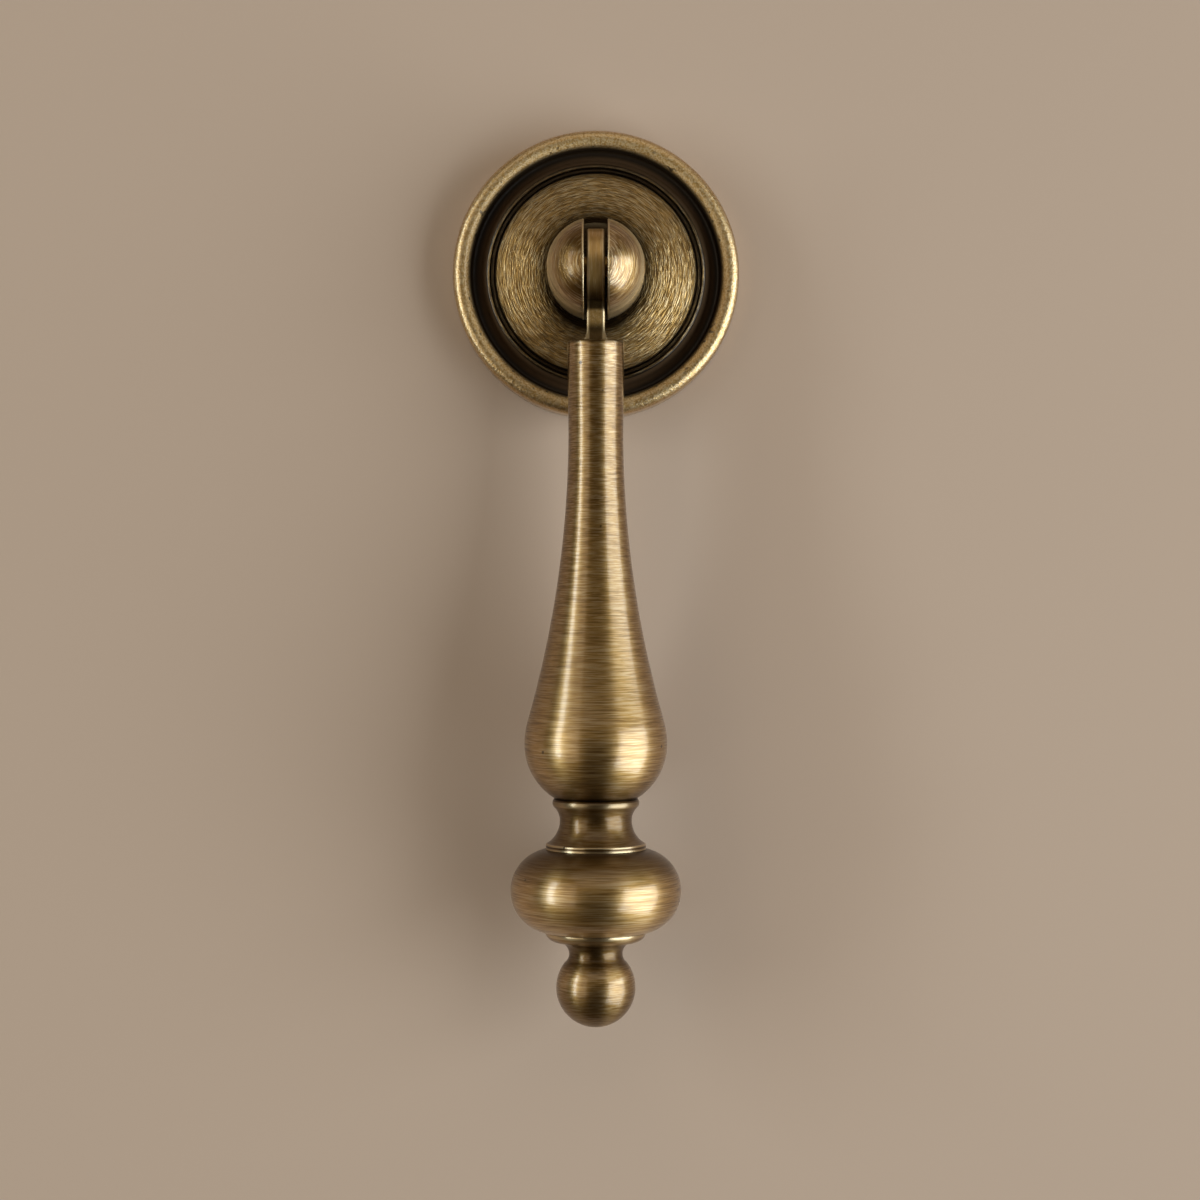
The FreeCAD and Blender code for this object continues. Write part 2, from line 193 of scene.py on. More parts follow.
class StageSettings(bpy.types.PropertyGroup):
    wall: tint("Board", 182, 158, 135, "Plain board behind the pull")
    camera_place: bpy.props.FloatVectorProperty(
        name="Camera", description="Where the camera stands", default=(0.0005, -0.333, -0.03814),
        subtype="XYZ", unit="LENGTH", precision=5)
    camera_tilt: degrees("Tilt", 0.298, "How far the camera looks down")
    lens: bpy.props.FloatProperty(name="Lens", description="Focal length", default=80.71,
                                  unit="CAMERA")
    right_light: brightness("Right light", 4.9, "Brightness of the broad light on the right")
    left_light: brightness("Left light", 8.9, "Brightness of the narrow light on the left")
    fill_light: brightness("Fill light", 1.05, "Brightness of the dim light left of the camera")
    top_light: brightness("Top light", 0.7, "Brightness of the light from above")
    rear_light: brightness("Rear light", 1.2, "Brightness of the light behind the board")
    room_light: brightness("Room light", 0.05, "Brightness of the room all round")


def sizes(group):
    """The lengths of a property group in millimetres, under their own names."""
    values = {}
    for name in group.bl_rna.properties.keys():
        item = group.bl_rna.properties[name]
        if item.type == "FLOAT" and item.unit == "LENGTH":
            values[name] = getattr(group, name) / MM
        elif item.type == "INT":
            values[name] = getattr(group, name)
    return namedtuple("Sizes", values)(**values)


# Outlines and meshes

ARC_STEP = 0.2  # largest angle of one part of an arc, in radians
TOUCHING = 1e-4  # millimetres
# shade: the wide hollows, where the drop takes painted shade
WEAR_AND_SHADE_REACH = {"edge": 0.3, "hollow": 1.2, "shade": 4.0}  # millimetres along the outline


def leg(longest, other):
    """A side of a right-angled triangle."""
    return math.sqrt(longest ** 2 - other ** 2)


def rise(radius, inset):
    """Height along an arc from its widest or narrowest place to where it has moved by inset."""
    return math.sqrt(inset * (2 * radius - inset))


class Outline:
    """Lines and arcs in a half plane, finely divided: radius from the axis, and height along it."""

    def __init__(self, radius, height, spacing):
        self.points = [Vector((radius, height))]
        self.spacing = spacing
        self.back_from = None

    @property
    def at(self):
        return self.points[-1]

    def line(self, radius, height):
        start, end = self.at, Vector((radius, height))
        parts = max(1, math.ceil((end - start).length / self.spacing))
        self.points += [start.lerp(end, (i + 1) / parts) for i in range(parts)]
        return self

    def arc(self, radius, height, centre_radius, centre_height):
        """Arc of less than a half turn about the given centre."""
        centre = Vector((centre_radius, centre_height))
        start = self.at - centre
        end = Vector((radius, height)) - centre
        sweep = math.atan2(start.cross(end), start.dot(end))
        parts = max(math.ceil(abs(sweep) * start.length / self.spacing),
                    math.ceil(abs(sweep) / ARC_STEP), 2)
        for i in range(parts):
            self.points.append(centre + Matrix.Rotation(sweep * (i + 1) / parts, 2) @ start)
        return self

    def corner(self, corner, fillet, towards):
        """Line to a corner and on towards the next point, with the corner rounded."""
        corner = Vector(corner)
        back = (self.at - corner).normalized()
        ahead = (Vector(towards) - corner).normalized()
        half = back.angle(ahead) / 2
        reach = fillet / math.tan(half)
        centre = corner + (back + ahead).normalized() * (fillet / math.sin(half))
        start = corner + back * reach
        end = corner + ahead * reach
        if (start - self.at).length > TOUCHING:
            self.line(start.x, start.y)
        return self.arc(end.x, end.y, centre.x, centre.y)

    def wear_and_shade(self):
        """What the finishes ask of each point: edges, hollows, wide hollows that take painted
        shade, and the hidden back.
        """
        back = self.back_from or len(self.points)
        values = {name: self.exposure(reach) for name, reach in WEAR_AND_SHADE_REACH.items()}
        values["back"] = [float(i > back) for i in range(len(self.points))]
        return values

    def exposure(self, reach):
        """For each point, how far the outline stands out (1) or lies in a hollow (-1) there."""
        points = self.points
        after_each = points[1:] + points[:1]
        area = sum(first.cross(second) for first, second in zip(points, after_each))
        outward = math.copysign(2 / math.pi, area)
        walked = [0.0]
        for first, second in zip(points, points[1:]):
            walked.append(walked[-1] + (second - first).length)
        values = []
        for index, point in enumerate(points):
            before = after = index
            while before > 0 and walked[index] - walked[before] < reach:
                before -= 1
            while after < len(points) - 1 and walked[after] - walked[index] < reach:
                after += 1
            back = point - points[before]
            ahead = points[after] - point
            at_end = before == index or after == index
            turn = 0.0 if at_end else math.atan2(back.cross(ahead), back.dot(ahead))
            values.append(turn * outward)
        return values


class Value:
    """A socket of a node tree that takes part in sums."""

    def __init__(self, nodes, socket):
        self.nodes = nodes
        self.socket = socket

    def __add__(self, other):
        return self.nodes.math("ADD", self, other)

    def __sub__(self, other):
        return self.nodes.math("SUBTRACT", self, other)

    def __mul__(self, other):
        return self.nodes.math("MULTIPLY", self, other)

    def __truediv__(self, other):
        return self.nodes.math("DIVIDE", self, other)

    def __rsub__(self, other):
        return self.nodes.math("SUBTRACT", other, self)

    def __rtruediv__(self, other):
        return self.nodes.math("DIVIDE", other, self)

    def __neg__(self):
        return self.nodes.math("SUBTRACT", 0.0, self)

    __radd__ = __add__
    __rmul__ = __mul__

    def between(self, low, high):
        """0 at low, 1 at high, with a smooth change between them; low may be the larger."""
        return self.nodes.add("ShaderNodeMapRange", {"interpolation_type": "SMOOTHSTEP"},
                              {"Value": self, "From Min": low, "From Max": high})

    def held(self):
        return self.nodes.math("ADD", self, 0.0, clamp=True)


class Nodes:
    """A node tree that is put together node by node."""

    def __init__(self, tree):
        self.tree = tree

    def add(self, kind, settings=None, inputs=None, output=0):
        """A node of any type: settings first, then the values or links of its sockets."""
        node = self.tree.nodes.new(kind)
        for name, value in (settings or {}).items():
            setattr(node, name, value)
        for name, value in (inputs or {}).items():
            if isinstance(value, Value):
                self.tree.links.new(value.socket, node.inputs[name])
            else:
                node.inputs[name].default_value = value
        return Value(self, node.outputs[output]) if node.outputs else None

    def math(self, operation, first, second=0.0, clamp=False):
        return self.add("ShaderNodeMath", {"operation": operation, "use_clamp": clamp},
                        {0: first, 1: second})


def plain_mesh(obj):
    """What an object's modifiers make of it, as a plain mesh in the object's stead."""
    graph = bpy.context.evaluated_depsgraph_get()
    mesh = bpy.data.meshes.new_from_object(obj.evaluated_get(graph))
    bpy.data.objects.remove(obj)
    return mesh


class Tree(Nodes):
    """A geometry node tree with named inputs."""

    def __init__(self, name, **inputs):
        """Inputs by name, each with the kind of its socket."""
        super().__init__(bpy.data.node_groups.new(name, "GeometryNodeTree"))
        self.tree.is_modifier = True
        self.named = {}
        for label, kind in inputs.items():
            socket = self.tree.interface.new_socket(label, in_out="INPUT",
                                                    socket_type="NodeSocket" + kind)
            self.named[label] = socket.identifier
        start = self.tree.nodes.new("NodeGroupInput")
        self.start = {label: Value(self, start.outputs[label]) for label in inputs}

    def placed(self, geometry):
        """Turned and moved as the tree's own inputs say."""
        turn, place = self.start["Rotation"], self.start["Place"]
        return self.add("GeometryNodeTransform", inputs={"Geometry": geometry, "Rotation": turn,
                                                         "Translation": place})

    def end(self, geometry):
        """Realise, give the finish and send out."""
        self.tree.interface.new_socket("Geometry", in_out="OUTPUT",
                                       socket_type="NodeSocketGeometry")
        real = self.add("GeometryNodeRealizeInstances", inputs={"Geometry": geometry})
        made = self.add("GeometryNodeSetMaterial", inputs={"Geometry": real,
                                                           "Material": self.start["Finish"]})
        self.add("NodeGroupOutput", inputs={"Geometry": made})

    def run(self, mesh, **values):
        """What the tree makes of a mesh."""
        holder = new_object("holder", mesh)
        modifier = holder.modifiers.new("shape", "NODES")
        modifier.node_group = self.tree
        for name, value in values.items():
            modifier[self.named[name]] = value
        return plain_mesh(holder)


SWEEP_RADIUS = 0.01  # metres, of the circle that an outline is swept round
POLE_MERGE = 2e-7  # metres


@functools.cache
def turning_tree():
    """An outline, swept round an axis into a turned piece."""
    tree = Tree("turned_piece", Outline="Geometry", Turns="Int", Rotation="Rotation",
                Place="Vector", Finish="Material")
    outline = tree.add("GeometryNodeMeshToCurve", inputs={"Mesh": tree.start["Outline"]})
    circle = tree.add("GeometryNodeCurvePrimitiveCircle",
                      inputs={"Resolution": tree.start["Turns"], "Radius": SWEEP_RADIUS})
    upright = tree.add("GeometryNodeSetCurveNormal", {"mode": "Z_UP"}, {"Curve": circle})
    skin = tree.add("GeometryNodeCurveToMesh", inputs={"Curve": upright, "Profile Curve": outline})
    closed = tree.add("GeometryNodeMergeByDistance",
                      inputs={"Geometry": skin, "Distance": POLE_MERGE})
    tree.end(tree.add("GeometryNodeSetShadeSmooth", inputs={"Geometry": tree.placed(closed)}))
    return tree


THREAD_RUN_OUT = 0.03  # share of the thread's length over which it rises or falls
THREAD_FOOT = 0.86  # width of the ridge where it stands on the core, in pitches
THREAD_CREST = 0.14  # width of the ridge's top, in pitches
THREAD_DEPTH = 0.61  # height of the ridge, in pitches
THREAD_STEPS = 40  # divisions of one winding
SECTION_OUTWARD = (0.0, 0.0, -math.pi / 2)  # turns the ridge's section away from the core


def thread_tree():
    """A ridge of even section, wound round a core and run out at both ends."""
    tree = Tree("screw_thread", Base="Geometry", Radius="Float", Length="Float", Pitch="Float",
                Depth="Float", Rotation="Rotation", Place="Vector", Finish="Material")
    radius, length, pitch = (tree.start[name] for name in ("Radius", "Length", "Pitch"))
    path = tree.add("GeometryNodeCurveSpiral", inputs={
        "Resolution": THREAD_STEPS, "Rotations": length / pitch, "Start Radius": radius,
        "End Radius": radius, "Height": length})
    path = tree.add("GeometryNodeSetCurveNormal", {"mode": "Z_UP"}, {"Curve": path})
    along = tree.add("GeometryNodeSplineParameter", output="Factor")
    run_out = tree.add("ShaderNodeFloatCurve", inputs={"Value": along})
    mapping = run_out.socket.node.mapping
    points = mapping.curves[0].points
    points[0].location = (0.0, 0.0)
    points[1].location = (1.0, 0.0)
    points.new(THREAD_RUN_OUT, 1.0)
    points.new(1.0 - THREAD_RUN_OUT, 1.0)
    for point in points:
        point.handle_type = "VECTOR"
    mapping.update()
    section = tree.add("GeometryNodeCurvePrimitiveQuadrilateral", {"mode": "TRAPEZOID"}, {
        "Height": tree.start["Depth"], "Bottom Width": pitch * THREAD_FOOT,
        "Top Width": pitch * THREAD_CREST, "Offset": 0.0})
    outward = tree.add("GeometryNodeTransform",
                       inputs={"Geometry": section, "Rotation": SECTION_OUTWARD})
    ridge = tree.add("GeometryNodeCurveToMesh", inputs={
        "Curve": path, "Profile Curve": outward, "Scale": run_out, "Fill Caps": True})
    tree.end(tree.placed(ridge))
    return tree


def new_object(name, data):
    obj = bpy.data.objects.new(name, data)
    bpy.context.scene.collection.objects.link(obj)
    return obj


def turned(outline, turns, rotation, place, finish, closed=False):
    """A plain mesh of an outline turned about an axis, with how worn each place is and how much
    painted shade it takes.
    """
    chain = bpy.data.meshes.new("outline")
    points = outline.points
    vertices = [(p.x * MM - SWEEP_RADIUS, -p.y * MM, 0.0) for p in points]
    edges = [(i, i + 1) for i in range(len(points) - 1)]
    if closed:
        edges.append((len(points) - 1, 0))
    chain.from_pydata(vertices, edges, [])
    for name, values in outline.wear_and_shade().items():
        layer = chain.attributes.new(name, "FLOAT", "POINT")
        layer.data.foreach_set("value", values)
    return tidy(turning_tree().run(chain, Turns=turns, Rotation=rotation, Place=place * MM,
                                   Finish=finish))


SEAM_MERGE = 1e-7  # metres
SLIVER = 1e-8  # metres
SHARP_ANGLE = math.radians(38)


def tidy(mesh):
    """Close the seams, turn the faces outwards and keep only real edges sharp."""
    work = bmesh.new()
    work.from_mesh(mesh)
    bmesh.ops.remove_doubles(work, verts=work.verts, dist=SEAM_MERGE)
    bmesh.ops.dissolve_degenerate(work, edges=work.edges, dist=SLIVER)
    bmesh.ops.recalc_face_normals(work, faces=work.faces)
    for face in work.faces:
        face.smooth = True
    work.to_mesh(mesh)
    work.free()
    mesh.set_sharp_from_angle(angle=SHARP_ANGLE)
    return mesh


def joined(name, meshes):
    """One mesh of several, which share the first one's finish."""
    work = bmesh.new()
    for mesh in meshes:
        work.from_mesh(mesh)
    whole = bpy.data.meshes.new(name)
    work.to_mesh(whole)
    work.free()
    whole.materials.append(meshes[0].materials[0])
    for polygon in whole.polygons:
        polygon.material_index = 0
        polygon.use_smooth = True
    whole.set_sharp_from_angle(angle=SHARP_ANGLE)
    return whole


def combine(base, other, operation):
    """Join or cut two closed meshes into one."""
    first = new_object("first", base)
    second = new_object("second", other)
    modifier = first.modifiers.new("combine", "BOOLEAN")
    modifier.operation = operation
    modifier.solver = "EXACT"
    modifier.object = second
    mesh = plain_mesh(first)
    bpy.data.objects.remove(second)
    return mesh


def loft(name, rings, finish, capped=False):
    """A skin over closed rings of equally many points, in millimetres."""
    work = bmesh.new()
    rows = [[work.verts.new(Vector(p) * MM) for p in ring] for ring in rings]
    for lower, upper in zip(rows, rows[1:]):
        for i in range(len(lower)):
            j = (i + 1) % len(lower)
            work.faces.new((lower[i], lower[j], upper[j], upper[i]))
    if capped:
        work.faces.new(rows[0][::-1])
        work.faces.new(rows[-1])
    mesh = bpy.data.meshes.new(name)
    work.to_mesh(mesh)
    work.free()
    mesh.materials.append(finish)
    return tidy(mesh)


def finish_piece(name, mesh, body, node):
    """A piece of the visual model, in place of a node of the CAD."""
    obj = new_object(name, mesh)
    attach(obj, body)
    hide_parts(node)


# Finishes

# Sockets of a Mix node that mixes colours, which share their names with its other sockets
COLOUR_A, COLOUR_B, COLOUR_RESULT = 6, 7, 2


class Sheet(Nodes):
    """The node sheet of one finish."""

    def __init__(self, name):
        self.material = bpy.data.materials.new(name)
        self.material.use_nodes = True
        super().__init__(self.material.node_tree)
        self.tree.nodes.clear()

    def mix(self, factor, first, second):
        """A colour between two others."""
        first, second = (colour if isinstance(colour, Value) else (*colour, 1.0)
                         for colour in (first, second))
        return self.add("ShaderNodeMix", {"data_type": "RGBA", "clamp_factor": True},
                        {0: factor, COLOUR_A: first, COLOUR_B: second}, output=COLOUR_RESULT)

    def layers(self, colour, *coats):
        """A colour with others laid over it: the share of each, and its tone."""
        for share, tone in coats:
            colour = self.mix(share, colour, tone)
        return colour

    def vector(self, x, y, z):
        return self.add("ShaderNodeCombineXYZ", inputs={0: x, 1: y, 2: z})

    def noise(self, vector, scale, detail=2.0, rough=0.5, depth=None):
        settings = {"noise_dimensions": "3D" if depth is None else "4D"}
        inputs = {"Vector": vector, "Scale": scale, "Detail": detail, "Roughness": rough}
        if depth is not None:
            inputs["W"] = depth
        return self.add("ShaderNodeTexNoise", settings, inputs)

    def attribute(self, name):
        return self.add("ShaderNodeAttribute", {"attribute_name": name}, output="Fac")

    def place(self):
        """Place on the piece, in millimetres: x, y, z."""
        where = self.add("ShaderNodeTexCoord", output="Object")
        split = self.add("ShaderNodeSeparateXYZ", inputs={0: where})
        return [Value(self, out) * (1 / MM) for out in split.socket.node.outputs]

    def bump(self, height, strength, distance):
        return self.add("ShaderNodeBump", inputs={"Height": height, "Strength": strength,
                                                  "Distance": distance})

    def metal(self, colour, roughness, normal, metallic=1.0, coat=0.0, **fixed):
        inputs = {"Base Color": colour, "Roughness": roughness, "Metallic": metallic,
                  "Coat Weight": coat, "Normal": normal}
        for name, value in fixed.items():
            inputs[name.replace("_", " ")] = value
        self.show(self.add("ShaderNodeBsdfPrincipled", inputs=inputs))
        return self.material

    def show(self, shader):
        self.add("ShaderNodeOutputMaterial", inputs={"Surface": shader})


Turning = namedtuple("Turning", "side front along radius")


def about_axis(sheet, axis, centre):
    """Direction from a turning axis (two parts), height along it and distance from it."""
    parts = dict(zip("XYZ", zip(sheet.place(), centre)))
    along, _ = parts.pop(axis)
    first, second = (part - middle for part, middle in parts.values())
    radius = sheet.math("SQRT", first * first + second * second) + TOUCHING
    return Turning(first / radius, second / radius, along, radius)


STROKE_ROUGHNESS = 0.55  # how much the finer layers of a stroke count
ON_AXIS = Vector((0, 0, 0))

# Where the drop's finish changes: millimetres along Z, from no effect to full effect
STEM_TONED = (-48.0, -14.0)
# darker towards the bottom of the end ball
BALL_DARKENED = (-83.5, -88.5)
# painted shade on the bead under the ring
UNDER_RING = ((-74.0, -70.5), (-68.8, -69.4))
# painted shade on the bulb's underside, over the collar
OVER_COLLAR = ((-59.5, -63.2), (-64.4, -63.9))
TOP_EDGE = (-9.4, -9.1)

# Where the rosette's finish changes: millimetres from the axis
# painted shadow, with some grime, round the post's head, darkest against it
ROUND_HEAD = (9.4, 6.8)
AGAINST_HEAD = (7.5, 6.1)
DISC_BORDER = (2.2, 1.2)  # in from the step's edge, as the next two
LINED_BAND = ((1.32, 1.18), (0.3, 0.42))
STEP_EDGE = (0.35, 0.1)

# Where the head's finish changes: millimetres
# the limb is painted bright, a painted reflection
LIMB = (5.0, 5.7)  # from the post's axis
CHEEK_PATCH = ((-1.2, -1.8), (5.4, 4.2))  # across, and from the axis
# painted shadow round the head's foot, where it meets the rosette
HEAD_FOOT = ((-8.0, -5.0), (-4.2, -4.5))  # along Y
SLOT_SHADE = (3.4, 0.4)  # from the slot's wall, as the next two
SLOT_RIMS = ((0.02, 0.08), (0.3, 0.16))
# painted shade inside the slot
IN_SLOT = (0.03, 0.0)

# Where the eye's finish changes: millimetres
# painted shade, with some grime, in the root under the eye
ROOT_START = 0.6  # over half-way down the eye
ROOT_END = (-1.0, -0.5)  # from the eye's lowest place
# painted shade on the foot's flare
FLARE_DARK = (2.6, 1.3)  # above the drop's top
# painted highlights along the eye's sides
EYE_RIMS = (0.42, 0.2)  # in from the eye's side


def strokes(sheet, turning, length, fineness, detail=2.0, shift=0.0):
    """Brush strokes round an axis: how often they change in a radian and in a millimetre."""
    where = sheet.vector(turning.side * length + shift, turning.front * length,
                         turning.along * fineness)
    return sheet.noise(where, 1.0, detail, STROKE_ROUGHNESS, depth=turning.radius * fineness)


def band(value, rising, falling):
    """1 in a band, with a smooth change at each end."""
    return value.between(*rising) * value.between(*falling)


def drop_finish(tones):
    """Brass brushed round the drop, darker in the hollows, with painted shade in the wide hollows,
    under the ring and over the collar, darker towards the ball's bottom, and worn bright on the
    edges.
    """
    sheet = Sheet("brushed_drop_brass")
    turning = about_axis(sheet, "Z", PIN_AXIS)
    place = sheet.vector(*sheet.place())
    edge, hollow, shade = (sheet.attribute(name) for name in WEAR_AND_SHADE_REACH)
    fine = strokes(sheet, turning, 2.2, 7.0, 3.0)
    broad = strokes(sheet, turning, 1.6, 1.6, 2.0, 7.0)
    clouds = sheet.noise(place, 0.12).between(0.4, 0.75)
    dark_streaks = strokes(sheet, turning, 2.4, 4.0, 2.0, 19.0).between(0.52, 0.68)
    stem = turning.along.between(*STEM_TONED)
    ball = turning.along.between(*BALL_DARKENED)
    toned = (broad.between(0.35, 0.7) * 0.38 + clouds * 0.3 + dark_streaks * 0.32).held()
    toned = (toned + stem * 0.3).held()
    recess = ((-hollow).between(0.2, 0.6) * 0.2 + (-edge).between(0.15, 0.6)).held()
    # painted shade in the wide hollows, under the ring and over the collar, and darker towards the
    # ball's bottom
    painted_shade_and_grime = shade.between(0.35, -0.6) * 0.7 + band(turning.along, *UNDER_RING) * 0.75
    painted_shade_and_grime = (painted_shade_and_grime + band(turning.along, *OVER_COLLAR) * 0.35 + ball * 0.6).held()
    top_edge = turning.along.between(*TOP_EDGE)
    worn = edge.between(0.15, 0.6) * (1.0 - top_edge)
    pits = sheet.noise(place, 0.9, 0.0).between(0.83, 0.87)
    colour = sheet.layers(
        tones.warm, (toned, tones.brown), (fine.between(0.48, 0.62) * 0.45, tones.bright),
        (fine.between(0.49, 0.36) * 0.45, tones.deep), (painted_shade_and_grime, tones.deep),
        ((painted_shade_and_grime * 0.2 + recess * 0.7).held(), tones.black), (worn * 0.7, tones.bright),
        (top_edge * 0.7, tones.black), (pits * 0.7, tones.black))
    roughness = 0.37 + fine * 0.12 - worn * 0.08
    normal = sheet.bump(fine + broad * 0.4, 0.6, 0.00002)
    coat = (0.95 - painted_shade_and_grime * 0.65 - recess * 0.4 - top_edge * 0.8).held()
    return sheet.metal(colour, roughness, normal, coat=coat, Coat_Roughness=0.17,
                       Anisotropic=0.7, Anisotropic_Rotation=0.25)


def rosette_finish(tones, s):
    """Brass with short strokes round the dome, a grained rim and a dark satin groove, with painted
    shadow round the head and painted shade at the dome's top and bottom.
    """
    sheet = Sheet("antiqued_rosette_brass")
    turning = about_axis(sheet, "Y", ON_AXIS)
    place = sheet.vector(*sheet.place())
    edge, back = sheet.attribute("edge"), sheet.attribute("back")
    rim_inside = s.diameter / 2 - s.rim_width
    step = rim_inside - s.groove_width
    crest = rim_inside + s.rim_width / 2
    from_axis = turning.radius
    from_step = step - from_axis
    dashes = strokes(sheet, turning, 5.5, 6.0, 1.0)
    hairs = strokes(sheet, turning, 7.0, 9.0, 1.0, 5.0)
    clouds = sheet.noise(place, 0.25)
    toned = (dashes.between(0.48, 0.62) * 0.55 + clouds.between(0.4, 0.7) * 0.2).held()
    # painted shadow round the head, darker by the step's edge, and painted shade at the dome's top
    # and bottom, where side light leaves a disc brushed in rings darker
    painted_shade_and_grime = from_axis.between(*ROUND_HEAD) * 0.45 + from_axis.between(*AGAINST_HEAD) * 0.45
    painted_shade_and_grime = painted_shade_and_grime + from_step.between(*DISC_BORDER) * 0.45
    painted_shade_and_grime = (painted_shade_and_grime + turning.front * turning.front * 0.3).held()
    disc = sheet.layers(
        tones.warm, (toned, tones.brown), (hairs.between(0.47, 0.61) * 0.62, tones.bright),
        (hairs.between(0.45, 0.35) * 0.5, tones.deep), (painted_shade_and_grime, tones.black),
        (band(from_step, *LINED_BAND) * 0.9, tones.black),
        (from_step.between(*STEP_EDGE) * 0.6, tones.black),
        ((-edge).between(0.08, 0.4) * 0.97, tones.black))
    grain = sheet.noise(place, 4.5)
    specks = sheet.noise(place, 2.2, 3.0)
    across = sheet.vector(turning.side * 70.0, turning.front * 70.0, from_axis * 0.6)
    across = sheet.noise(across, 1.0)
    toned = across.between(0.4, 0.65) * 0.2 + specks.between(0.45, 0.6) * 0.2
    pits = sheet.noise(place, 1.6, 0.0).between(0.7, 0.78)
    rim = sheet.layers(
        tones.warm, (toned, tones.brown), (grain.between(0.4, 0.58) * 0.65, tones.bright),
        (pits * from_axis.between(crest + 0.6, crest - 0.8) * 0.8, tones.black),
        # darker on the rim's inner slope: patina, and painted shade
        (from_axis.between(crest - 0.5, rim_inside) * 0.15, tones.deep))
    on_rim = from_axis.between(rim_inside, rim_inside + 0.3)
    on_disc = from_axis.between(step + 0.1, step - 0.1)
    groove = sheet.mix(from_axis.between(step + 1.4, step + 0.8), tones.black, tones.groove)
    behind = sheet.mix(clouds.between(0.3, 0.7), tones.warm, tones.brown)
    colour = sheet.layers(groove, (on_disc, disc), (on_rim, rim), (back, behind))
    bare = sheet.math("MAXIMUM", sheet.math("MAXIMUM", on_disc, on_rim), back)
    inner_rim = on_rim * from_axis.between(crest + 0.6, crest - 0.6)
    roughness = 0.32 + dashes * 0.1 + inner_rim * 0.2
    height = (dashes * 0.8 + hairs * 0.5) * on_disc
    height = height + (across * 0.08 + grain * 0.14 + specks * 0.2) * on_rim
    normal = sheet.bump(height * (1.0 - back * 0.8), 1.0, 0.00026)
    return sheet.metal(colour, roughness, normal, metallic=0.3 + bare * 0.7,
                       coat=bare * 0.8 - painted_shade_and_grime * on_disc * 0.75, Coat_Roughness=0.3)


def head_finish(tones, s):
    """Brass brushed in rings about the post's axis, with painted shade by the slot, in it and round
    the head's foot, a painted reflection on its limb, and bright along the slot's rims.
    """
    sheet = Sheet("ringed_post_brass")
    turning = about_axis(sheet, "Y", ON_AXIS)
    across = sheet.place()[0]
    from_slot = sheet.math("ABSOLUTE", across) - s.slot / 2
    rings = strokes(sheet, turning, 2.5, 6.0, 3.0)
    broad = strokes(sheet, turning, 2.0, 1.8, 2.0, 3.0)
    # brown towards the slot: painted shade
    toned = broad.between(0.35, 0.65) * 0.5 + from_slot.between(*SLOT_SHADE) * 0.75
    limb = turning.radius.between(*LIMB)
    patch = across.between(*CHEEK_PATCH[0]) * turning.radius.between(*CHEEK_PATCH[1])
    colour = sheet.layers(
        tones.warm, (toned.held(), tones.brown), (limb * 0.9, tones.bright),
        (rings.between(0.48, 0.62) * 0.6, tones.bright),
        (rings.between(0.48, 0.34) * 0.55, tones.deep), (patch * 0.6, tones.deep),
        (band(turning.along, *HEAD_FOOT) * 0.9, tones.black),
        (band(from_slot, *SLOT_RIMS) * 0.8, tones.bright),
        (from_slot.between(*IN_SLOT) * 0.7, tones.black))
    roughness = 0.28 + rings * 0.1 + limb * 0.15
    normal = sheet.bump(rings + broad * 0.4, 0.9, 0.00008)
    return sheet.metal(colour, roughness, normal, coat=0.9 - patch * 0.65, Coat_Roughness=0.2)


def eye_finish(tones, s, top_depth):
    """Brass brushed along the eye's rim and its neck, with painted shade in the root and on the
    foot's flare, and painted highlights along the eye's sides.
    """
    sheet = Sheet("lengthwise_eye_brass")
    turning = about_axis(sheet, "X", PIN_AXIS)
    across, _, height = sheet.place()
    lines = strokes(sheet, turning, 2.0, 7.0, 3.0)
    broad = strokes(sheet, turning, 2.0, 2.5, 2.0, 3.0)
    root = s.diameter / 2
    # painted shade in the root and on the foot's flare
    dark = height.between(ROOT_START - root / 2, -root) * (height + root).between(*ROOT_END) * 0.9
    dark = dark + (height + top_depth).between(*FLARE_DARK) * 0.9
    from_side = s.thickness / 2 - sheet.math("ABSOLUTE", across)
    colour = sheet.layers(
        tones.warm, (broad.between(0.35, 0.7) * 0.4, tones.brown),
        (lines.between(0.5, 0.7) * 0.5, tones.bright), (dark.held(), tones.black),
        (from_side.between(*EYE_RIMS) * (0.85 - dark * 0.6), tones.bright))
    roughness = 0.4 + lines * 0.1
    normal = sheet.bump(lines, 0.4, 0.00002)
    return sheet.metal(colour, roughness, normal, coat=0.5 - dark.held() * 0.5,
                       Coat_Roughness=0.25)


def plain_finish(name, tones, axis, centre, base):
    """Brass left as it was turned or milled."""
    sheet = Sheet(name)
    turning = about_axis(sheet, axis, centre)
    rings = strokes(sheet, turning, 1.2, 7.0, 2.0)
    clouds = sheet.noise(sheet.vector(*sheet.place()), 0.3)
    colour = sheet.mix(rings * 0.5 + clouds * 0.3, base, tones.brown)
    normal = sheet.bump(rings, 0.2, 0.00002)
    return sheet.metal(colour, 0.3 + rings * 0.12, normal)


# Pieces

# Millimetres between the points of each outline
ROSETTE_SPACING = 0.12
DROP_SPACING = 0.22
EYE_SPACING = 0.15
STUD_SPACING = 0.5
ROD_SPACING = 5.0
LINE_GAP = 0.01  # millimetres of dome that are worth an arc between two turned lines


